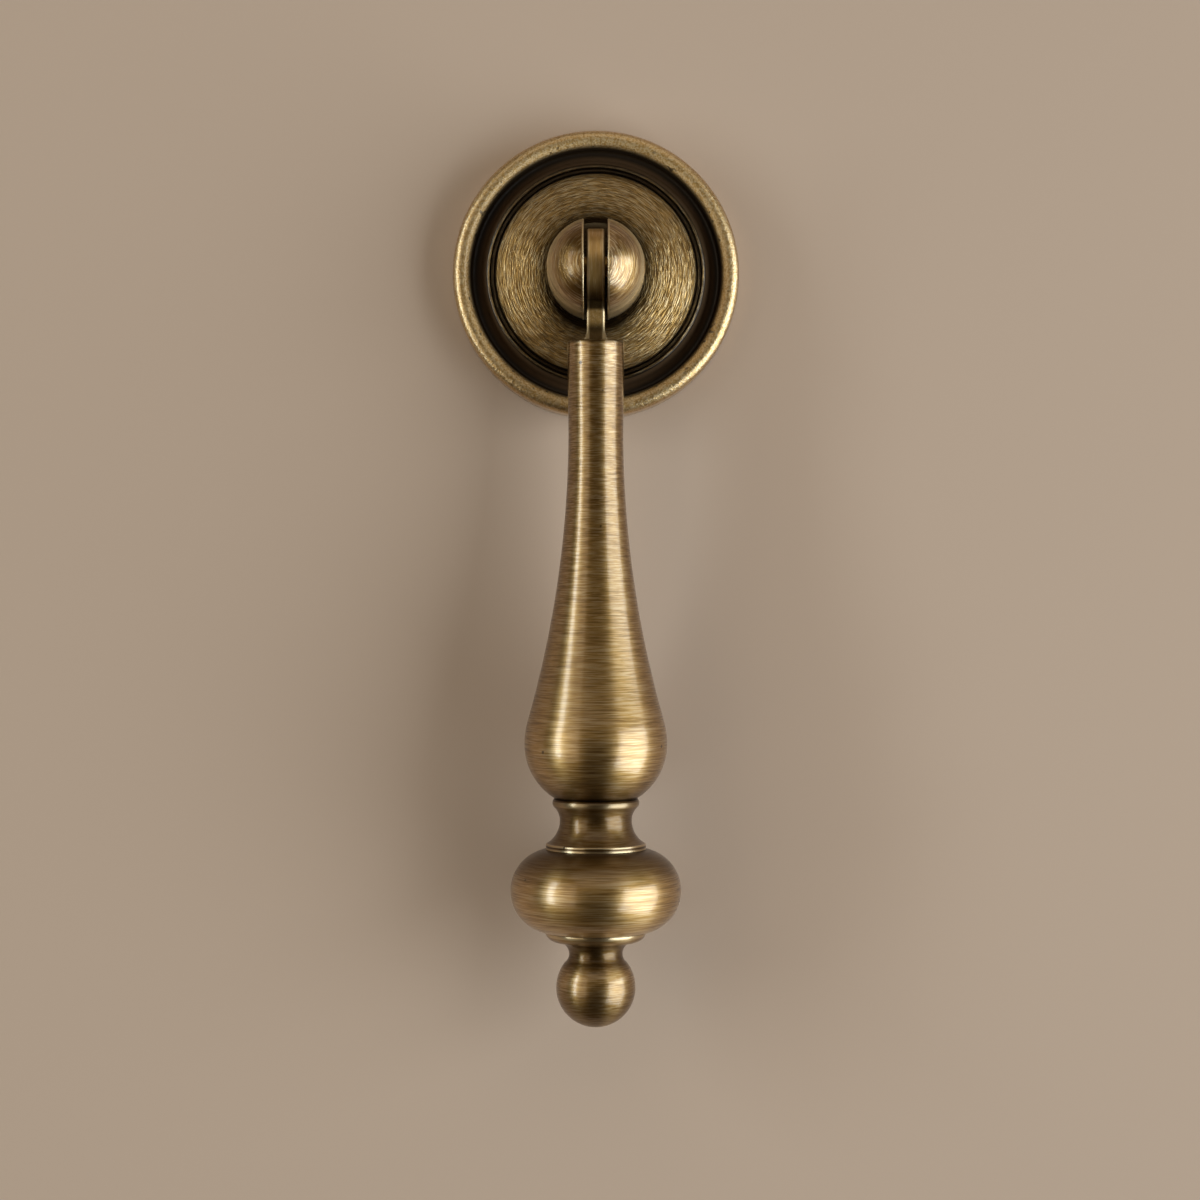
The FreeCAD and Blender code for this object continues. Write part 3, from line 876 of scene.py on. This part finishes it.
def rosette_outline(s, head):
    """Closed section of the pressed sheet: the front from rim to hole, then the back to the rim."""
    rim = s.diameter / 2
    rim_inside = rim - s.rim_width
    step = rim_inside - s.groove_width
    floor_out = (rim_inside, s.groove_height)
    floor_in = (rim_inside - s.groove_floor, s.groove_height)
    seat = head / 2 + s.seat_margin
    bead = s.rim_width / 2
    fall = s.seat_height - s.step_height
    dome = ((step - seat) ** 2 + fall ** 2) / (2 * fall)
    centre = s.seat_height - dome

    def dome_height(radius, sheet=0.0):
        return centre + leg(dome - sheet, radius - seat)

    path = Outline(rim, 0.0, ROSETTE_SPACING)
    path.corner((rim, s.rim_height), bead, (rim_inside, s.rim_height))
    path.corner((rim_inside, s.rim_height), bead, floor_out)
    path.corner(floor_out, s.groove_outer_round, floor_in)
    path.corner(floor_in, s.groove_inner_round, (step, s.step_height))
    edge = step - s.step_round
    path.corner((step, dome_height(step)), s.step_round, (edge, dome_height(edge)))
    half = s.line_width / 2
    for inset in (s.first_line, s.second_line):
        radius = step - inset
        if path.at.x > radius + half + LINE_GAP:
            path.arc(radius + half, dome_height(radius + half), seat, centre)
        path.line(radius, dome_height(radius) - s.line_depth)
        path.line(radius - half, dome_height(radius - half))
    path.arc(seat, s.seat_height, seat, centre)
    path.line(s.hole / 2, s.seat_height)
    path.line(s.hole / 2, s.seat_height - s.sheet)
    path.back_from = len(path.points)
    path.line(seat, s.seat_height - s.sheet)
    slope = (Vector((step, s.step_height)) - Vector(floor_in)).normalized()
    behind = Vector((-slope.y, slope.x)) * s.sheet
    if behind.x > 0:
        behind = -behind
    back_floor = s.groove_height - s.sheet
    start = Vector(floor_in) + behind
    foot = start + slope * ((back_floor - start.y) / slope.y)
    top = start + slope * ((dome_height(step, s.sheet) - start.y) / slope.y)
    wall, outer = rim_inside + s.sheet, rim - s.sheet
    crest = s.rim_height - s.sheet
    path.arc(top.x, dome_height(top.x, s.sheet), seat, centre)
    path.corner(foot, s.groove_inner_round + s.sheet, (wall, back_floor))
    path.corner((wall, back_floor), s.groove_outer_round + s.sheet, (wall, s.rim_height))
    path.corner((wall, crest), bead - s.sheet, (outer, crest))
    path.corner((outer, crest), bead - s.sheet, (outer, 0.0))
    path.line(outer, 0.0)
    return path


def drop_outline(s):
    """Half section of the drop, from its drilled top down to the flat under the end ball."""
    path = Outline(0.0, -s.top_depth - s.drill_depth, DROP_SPACING)
    path.line(s.drill / 2, -s.top_depth - s.drill_depth)
    path.line(s.drill / 2, -s.top_depth)
    path.line(s.top / 2 - s.top_chamfer, -s.top_depth)
    path.line(s.top / 2, -s.top_depth - s.top_chamfer)
    stem, bulb = s.stem / 2, s.bulb / 2
    flare_start = -s.top_depth - s.stem_length
    across = bulb - stem
    down = flare_start + s.bulb_depth
    reach = (across ** 2 + down ** 2) / (2 * across)
    flare_centre = Vector((stem + reach - s.shoulder_round, flare_start))
    shoulder = Vector((bulb - s.shoulder_round, -s.bulb_depth))
    touch = flare_centre.lerp(shoulder, (reach - s.shoulder_round) / reach)
    path.line(stem, flare_start)
    path.arc(touch.x, touch.y, flare_centre.x, flare_centre.y)
    path.arc(bulb, -s.bulb_depth, shoulder.x, shoulder.y)
    side = s.collar / 2 - s.collar_bulge
    level = -s.bulb_depth - rise(s.base_round, bulb - side)
    path.arc(side, level, bulb - s.base_round, -s.bulb_depth)
    drop_collar_and_ring(path, s)
    drop_bead_and_tip(path, s)
    return path


def drop_collar_and_ring(path, s):
    side, neck, rim = path.at.x, s.neck / 2, s.ring / 2
    level = path.at.y - s.collar_height
    bulge = (s.collar_bulge ** 2 + (s.collar_height / 2) ** 2) / (2 * s.collar_bulge)
    path.arc(side, level, side + s.collar_bulge - bulge, level + s.collar_height / 2)
    waist = level - rise(s.upper_cove, side - neck)
    path.arc(neck, waist, neck + s.upper_cove, waist)
    inside = rim - s.ring_round
    top = waist - rise(s.lower_cove, inside - neck)
    path.arc(inside, top, neck + s.lower_cove, waist)
    path.arc(rim, top - s.ring_round, inside, top - s.ring_round)
    path.line(rim, top - s.ring_height)
    path.line(rim - s.quirk, top - s.ring_height)


def drop_bead_and_tip(path, s):
    widest = s.bead / 2
    centre = widest - s.bead_round
    middle = path.at.y - leg(s.bead_round, path.at.x - centre)
    path.arc(widest, middle, centre, middle)
    rim = s.foot_ring / 2
    seat = rim - s.quirk
    level = middle - leg(s.bead_round, seat - centre)
    path.arc(seat, level, centre, middle)
    path.line(rim, level)
    level -= s.foot_edge
    path.line(rim, level)
    neck = s.tip_neck / 2
    turn = neck + s.tip_upper_cove
    level -= s.foot_round - leg(s.foot_round, rim - turn)
    path.arc(turn, level, turn, level + s.foot_round)
    waist = level - s.tip_upper_cove
    path.arc(neck, waist, turn, waist)
    joint = neck + s.ball_step
    level = waist - rise(s.tip_lower_cove, s.ball_step)
    path.arc(joint, level, neck + s.tip_lower_cove, waist)
    ball = s.ball / 2
    middle = level - leg(ball, joint)
    path.arc(ball, middle, 0.0, middle)
    flat = s.ball_flat / 2
    bottom = middle - leg(ball, flat)
    path.arc(flat, bottom, 0.0, middle)
    path.line(0.0, bottom)


NOSE_STEPS = 48  # divisions of the nose from top to bottom
CHEEK_STEPS = 56  # sections from the slot's rim to the end of a cheek
RIM_STEPS = 6  # sections over the rounding of the slot's rim
WEB_STEPS = 8  # sections across the slot's floor
CHEEK_LEVELS = (0.2, 1.2, 2.6)  # millimetres over the slot's floor
ON_FLOOR = 1e-6  # millimetres


def head_ring(x, radius, front_radius, s, floor, seat, behind_web):
    """One closed section of the head across its slot's direction."""
    pin = -PIN_AXIS.y
    heights = [seat, seat + s.base_chamfer, floor, *(floor + up for up in CHEEK_LEVELS), pin]
    half = []
    for height in heights:
        reach = radius if height <= floor + ON_FLOOR else front_radius
        if height == seat:
            reach = math.sqrt(max((s.head / 2 - s.base_chamfer) ** 2 - x * x, 0.0))
        if behind_web:
            height = min(height, floor)
            reach = radius if height > seat else reach
        half.append((reach, height))
    lower = [(x, -height, -reach) for reach, height in half]
    upper = [(x, -height, reach) for reach, height in reversed(half)]
    nose = []
    for i in range(1, NOSE_STEPS):
        angle = math.pi * i / NOSE_STEPS - math.pi / 2
        height = floor if behind_web else pin + front_radius * math.cos(angle)
        reach = radius if behind_web else front_radius
        nose.append((x, -height, reach * math.sin(angle)))
    return lower + nose + upper


def head_mesh(s, eye, seat, finish):
    """Round-nosed head as a skin over sections from cheek to cheek, with the slot between."""
    big = s.head / 2
    floor = -PIN_AXIS.y - eye / 2 - s.floor_gap
    wall, soft = s.slot / 2, s.slot_round
    inner = wall + soft
    rim = leg(big, inner)
    cheek = []
    for i in range(RIM_STEPS + 1):
        angle = math.pi / 2 * i / RIM_STEPS
        x = inner - soft * math.cos(angle)
        cheek.append((x, leg(big, x), rim - soft + soft * math.sin(angle)))
    first = math.asin(inner / big)
    for i in range(1, CHEEK_STEPS + 1):
        angle = first + (math.pi / 2 - first) * i / CHEEK_STEPS
        radius = big * math.cos(angle) if i < CHEEK_STEPS else 0.0
        cheek.append((big * math.sin(angle), radius, radius))
    web = []
    for i in range(WEB_STEPS + 1):
        x = wall * (2 * i / WEB_STEPS - 1)
        radius = leg(big, x)
        web.append((x, radius, radius))
    rings = [head_ring(-x, r, f, s, floor, seat, False) for x, r, f in reversed(cheek)]
    rings += [head_ring(x, r, f, s, floor, seat, True) for x, r, f in web]
    rings += [head_ring(x, r, f, s, floor, seat, False) for x, r, f in cheek]
    return loft("head", rings, finish)


ROD_TURNS = 64  # divisions round a rod
EYE_TURNS = 128


def rod(radius, length, place, rotation, finish):
    """A plain closed rod, for drilling and for shanks."""
    path = Outline(0.0, 0.0, ROD_SPACING)
    path.line(radius, 0.0).line(radius, length).line(0.0, length)
    return turned(path, ROD_TURNS, rotation, place, finish)


# Rotations that lay the axis of a turned piece in a direction
ALONG_X = (0.0, math.pi / 2, 0.0)
ALONG_Y = (-math.pi / 2, 0.0, 0.0)
OUT_OF_FRONT = (math.pi / 2, 0.0, 0.0)
UPRIGHT = (0.0, 0.0, 0.0)

CORNER_STEPS = 5  # divisions of a rounded corner of the neck
ROOT_STEPS = 8  # sections of the neck beside the eye
ROOT_OVERLAP = 0.35  # millimetres that the neck reaches into the eye
FLARE_STEPS = 16  # sections of the flare into the foot
FLARE_POWER = 2.6  # how late the flare spreads
NECK_INSET = 0.004  # millimetres that the neck is narrower than the eye
SHANK_OVERLAP = 0.2  # millimetres that the shank reaches into the foot
IN_ROUND = 0.999  # largest share of the root's radius that its hollow uses


def neck_ring(width, depth, level, edge):
    """Rounded rectangle across the eye's neck."""
    ring = []
    for quarter in range(4):
        sx = 1 if quarter in (0, 3) else -1
        sy = 1 if quarter in (0, 1) else -1
        for i in range(CORNER_STEPS + 1):
            angle = math.pi / 2 * (quarter + i / CORNER_STEPS)
            ring.append((sx * (width / 2 - edge) + edge * math.cos(angle),
                         sy * (depth / 2 - edge) + edge * math.sin(angle) + PIN_AXIS.y, level))
    return ring


def neck_rings(s, top_depth):
    """Sections of the neck from the eye's root down to the foot."""
    big, root = s.diameter / 2, s.root_round
    spread = s.neck_depth / 2 + root
    turn = -leg(big + root, spread)
    top = turn * big / (big + root) + ROOT_OVERLAP
    width = s.thickness - NECK_INSET
    rings = []
    for i in range(ROOT_STEPS + 1):
        level = top + (turn - top) * i / ROOT_STEPS
        away = min(level - turn, root * IN_ROUND)
        hollow = spread - leg(root, away)
        depth = 2 * hollow if away > 0 else s.neck_depth
        rings.append(neck_ring(width, depth, level, s.edge_round))
    flare_top = s.land + s.flare - top_depth
    for i in range(FLARE_STEPS + 1):
        part = i / FLARE_STEPS
        out = part ** FLARE_POWER
        rings.append(neck_ring(width + out * (s.foot_width - width),
                               s.neck_depth + out * (s.foot_depth - s.neck_depth),
                               flare_top - part * s.flare, s.edge_round))
    rings.append(neck_ring(s.foot_width, s.foot_depth, -top_depth, s.edge_round))
    return rings


def eye_mesh(s, top_depth, finish):
    """Eye, neck with flared foot, and shank, joined into one."""
    half, big, bore = s.thickness / 2, s.diameter / 2, s.bore / 2
    disc = Outline(bore, -half, EYE_SPACING)
    disc.corner((big, -half), s.edge_round, (big, half))
    disc.corner((big, half), s.edge_round, (bore, half))
    disc.line(bore, half)
    eye = turned(disc, EYE_TURNS, ALONG_X, PIN_AXIS, finish, closed=True)
    neck = loft("neck", neck_rings(s, top_depth), finish, capped=True)
    shank_end = PIN_AXIS - Vector((0, 0, top_depth + s.shank_length))
    shank = rod(s.shank / 2, s.shank_length + SHANK_OVERLAP, shank_end, UPRIGHT, finish)
    return tidy(combine(combine(eye, neck, "UNION"), shank, "UNION"))


class DROPPULL_OT_rosette(bpy.types.Operator):
    """Make the pressed rosette"""
    bl_idname = "droppull.rosette"
    bl_label = "Rosette"

    def execute(self, context):
        scene = context.scene
        s = sizes(scene.pull_rosette)
        finish = rosette_finish(scene.pull_brass, s)
        path = rosette_outline(s, sizes(scene.pull_post).head)
        mesh = turned(path, s.turns, OUT_OF_FRONT, ON_AXIS, finish, closed=True)
        finish_piece("rosette_shell", mesh, "mounted", "rosette")
        return {"FINISHED"}


CLAMP_CHAMFER = 0.3  # millimetres
SEAT_OVERLAP = 0.05  # millimetres that the clamping thread reaches into the head
TIP_CLEAR = 1.2  # where the stud's thread ends, in chamfers from its tip


def stud_outline(s, seat, depth):
    """Half section of the clamping thread and of the stud's core."""
    core, clamp = s.stud / 2 - depth, s.clamp / 2
    path = Outline(0.0, -s.stud_length, STUD_SPACING)
    path.line(s.stud / 2 - s.stud_chamfer, -s.stud_length)
    path.line(core, -s.stud_length + s.stud_chamfer)
    path.line(core, s.clamp_end)
    path.line(clamp - CLAMP_CHAMFER, s.clamp_end)
    path.line(clamp, s.clamp_end + CLAMP_CHAMFER)
    path.line(clamp, seat + SEAT_OVERLAP)
    return path.line(0.0, seat + SEAT_OVERLAP)


def stud_thread(s, depth, finish):
    """The stud's thread, wound round its core."""
    length = s.stud_length - s.stud_chamfer * TIP_CLEAR + s.clamp_end
    return tidy(thread_tree().run(
        bpy.data.meshes.new("thread"), Radius=(s.stud - depth) / 2 * MM, Length=length * MM,
        Pitch=s.pitch * MM, Depth=depth * MM, Rotation=ALONG_Y,
        Place=Vector((0, -s.clamp_end, 0)) * MM, Finish=finish))


class DROPPULL_OT_post(bpy.types.Operator):
    """Make the slotted post with its threads"""
    bl_idname = "droppull.post"
    bl_label = "Post"

    def execute(self, context):
        scene = context.scene
        s = sizes(scene.pull_post)
        seat = sizes(scene.pull_rosette).seat_height
        finish = head_finish(scene.pull_brass, s)
        head = head_mesh(s, sizes(scene.pull_eye).diameter, seat, finish)
        drill = rod(s.pin / 2, 2 * s.head, PIN_AXIS - Vector((s.head, 0, 0)), ALONG_X, finish)
        head = tidy(combine(head, drill, "DIFFERENCE"))
        depth = THREAD_DEPTH * s.pitch
        stud = turned(stud_outline(s, seat, depth), ROD_TURNS, OUT_OF_FRONT, ON_AXIS, finish)
        whole = joined("post_turned", [head, stud, stud_thread(s, depth, finish)])
        finish_piece("post_turned", whole, "mounted", "post")
        return {"FINISHED"}


class DROPPULL_OT_fastenings(bpy.types.Operator):
    """Finish the hinge pin, the washer and the nut"""
    bl_idname = "droppull.fastenings"
    bl_label = "Pin, washer and nut"

    def execute(self, context):
        tones = context.scene.pull_brass
        nodes = frame["nodes"]
        pin = plain_finish("dressed_pin_brass", tones, "X", PIN_AXIS, tones.warm)
        plain = plain_finish("milled_plain_brass", tones, "Y", ON_AXIS, tones.plain)
        for name, finish in (("hinge_pin", pin), ("washer", plain), ("lock_nut", plain)):
            nodes[name].data.materials.clear()
            nodes[name].data.materials.append(finish)
        return {"FINISHED"}


class DROPPULL_OT_eye(bpy.types.Operator):
    """Make the eye with its neck, foot and shank"""
    bl_idname = "droppull.eye"
    bl_label = "Eye"

    def execute(self, context):
        scene = context.scene
        s = sizes(scene.pull_eye)
        top_depth = sizes(scene.pull_drop).top_depth
        mesh = eye_mesh(s, top_depth, eye_finish(scene.pull_brass, s, top_depth))
        finish_piece("eye_and_neck", mesh, "swinging", "drop_eye")
        return {"FINISHED"}


class DROPPULL_OT_drop(bpy.types.Operator):
    """Make the turned drop"""
    bl_idname = "droppull.drop"
    bl_label = "Drop"

    def execute(self, context):
        scene = context.scene
        s = sizes(scene.pull_drop)
        finish = drop_finish(scene.pull_brass)
        mesh = turned(drop_outline(s), s.turns, UPRIGHT, PIN_AXIS, finish)
        finish_piece("drop_turned", mesh, "swinging", "drop")
        return {"FINISHED"}


def board_finish(tone):
    """Plain board that can be looked through from behind."""
    sheet = Sheet("plain_board")
    shader = sheet.add("ShaderNodeBsdfPrincipled",
                       inputs={"Base Color": (*tone, 1.0), "Roughness": 0.9})
    clear = sheet.add("ShaderNodeBsdfTransparent")
    behind = sheet.add("ShaderNodeNewGeometry", output="Backfacing")
    sheet.show(sheet.add("ShaderNodeMixShader", inputs={0: behind, 1: shader, 2: clear}))
    return sheet.material


BOARD_SIDES = 96
BOARD_RADIUS = 3.0  # metres
BOARD_PLACE = 0.0002  # metres behind the rosette's back
BOARD_OPENING = 0.47  # radius of the opening, in diameters of the rosette


def board_mesh(opening, tone):
    """A wide round board with an opening that the rosette covers."""
    rings = []
    for radius in (opening, BOARD_RADIUS):
        for i in range(BOARD_SIDES):
            angle = math.tau * i / BOARD_SIDES
            rings.append((radius * math.sin(angle), BOARD_PLACE, radius * math.cos(angle)))
    faces = []
    for i in range(BOARD_SIDES):
        j = (i + 1) % BOARD_SIDES
        faces.append((i, j, BOARD_SIDES + j, BOARD_SIDES + i))
    mesh = bpy.data.meshes.new("board")
    mesh.from_pydata(rings, [], faces)
    mesh.materials.append(board_finish(tone))
    return mesh


LIGHT_TARGET = Vector((0.0, 0.0, -0.04))  # metres
# Soft panels of light: place, width and height in metres, colour, and the setting of brightness
PANELS = {
    "right_panel": ((0.74, -0.34, -0.20), 0.9, 0.96, (0.79, 0.89, 1.0), "right_light"),
    "left_panel": ((-0.73, -0.38, 0.04), 0.14, 0.78, (0.77, 0.89, 1.0), "left_light"),
    "left_fill": ((-0.55, -0.60, 0.0), 0.45, 0.9, (1.0, 0.91, 0.76), "fill_light"),
    "top_panel": ((0.20, -0.85, 1.15), 2.0, 1.4, (1.0, 0.92, 0.80), "top_light"),
    "rear_panel": ((0.3, 0.8, 0.3), 0.9, 0.9, (1.0, 0.97, 0.93), "rear_light"),
}
ROOM_COLOUR = (1.0, 0.80, 0.58, 1.0)
SENSOR_WIDTH = 36.0  # millimetres


def softbox(name, place, width, height, colour, radiance):
    """A soft panel of light that shines from its place towards the pull."""
    lamp = bpy.data.lights.new(name, "AREA")
    lamp.shape = "RECTANGLE"
    lamp.size = width
    lamp.size_y = height
    lamp.energy = radiance * math.pi * width * height
    lamp.color = colour
    obj = new_object(name, lamp)
    obj.location = place
    obj.rotation_euler = (LIGHT_TARGET - Vector(place)).to_track_quat("-Z", "Y").to_euler()


class DROPPULL_OT_stage(bpy.types.Operator):
    """Make the board, the light and the camera"""
    bl_idname = "droppull.stage"
    bl_label = "Stage"

    def execute(self, context):
        scene = context.scene
        stage = scene.pull_stage
        scene.view_settings.view_transform = "Standard"
        opening = scene.pull_rosette.diameter * BOARD_OPENING
        new_object("board", board_mesh(opening, stage.wall))
        for name, (place, width, height, colour, setting) in PANELS.items():
            softbox(name, place, width, height, colour, getattr(stage, setting))
        world = bpy.data.worlds.new("soft_room")
        world.use_nodes = True
        backdrop = world.node_tree.nodes["Background"]
        backdrop.inputs["Color"].default_value = ROOM_COLOUR
        backdrop.inputs["Strength"].default_value = stage.room_light
        scene.world = world
        camera = bpy.data.cameras.new("front_camera")
        camera.lens = stage.lens
        camera.sensor_width = SENSOR_WIDTH
        obj = new_object("front_camera", camera)
        obj.location = stage.camera_place
        obj.rotation_euler = (math.pi / 2 - stage.camera_tilt, 0.0, 0.0)
        scene.camera = obj
        return {"FINISHED"}


class DROPPULL_PT_panel(bpy.types.Panel):
    """Lists the pieces of the drop pull"""
    bl_idname = "DROPPULL_PT_panel"
    bl_label = "Drop Pull"
    bl_space_type = "VIEW_3D"
    bl_region_type = "UI"
    bl_category = "Drop Pull"

    def draw(self, context):
        for operator in OPERATORS:
            self.layout.operator(operator.bl_idname)


OPERATORS = (
    DROPPULL_OT_rosette,
    DROPPULL_OT_post,
    DROPPULL_OT_fastenings,
    DROPPULL_OT_eye,
    DROPPULL_OT_drop,
    DROPPULL_OT_stage,
)
GROUPS = {
    "pull_rosette": RosetteSizes,
    "pull_post": PostSizes,
    "pull_eye": EyeSizes,
    "pull_drop": DropSizes,
    "pull_brass": BrassFinish,
    "pull_stage": StageSettings,
}


def register():
    for cls in (*GROUPS.values(), *OPERATORS, DROPPULL_PT_panel):
        bpy.utils.register_class(cls)
    for name, group in GROUPS.items():
        setattr(bpy.types.Scene, name, bpy.props.PointerProperty(type=group))


def unregister():
    for name in GROUPS:
        delattr(bpy.types.Scene, name)
    for cls in (DROPPULL_PT_panel, *reversed(OPERATORS), *reversed(GROUPS.values())):
        bpy.utils.unregister_class(cls)


def main():
    register()
    bpy.ops.droppull.rosette()
    bpy.ops.droppull.post()
    bpy.ops.droppull.fastenings()
    bpy.ops.droppull.eye()
    bpy.ops.droppull.drop()
    bpy.ops.droppull.stage()


if __name__ == "__main__":
    main()
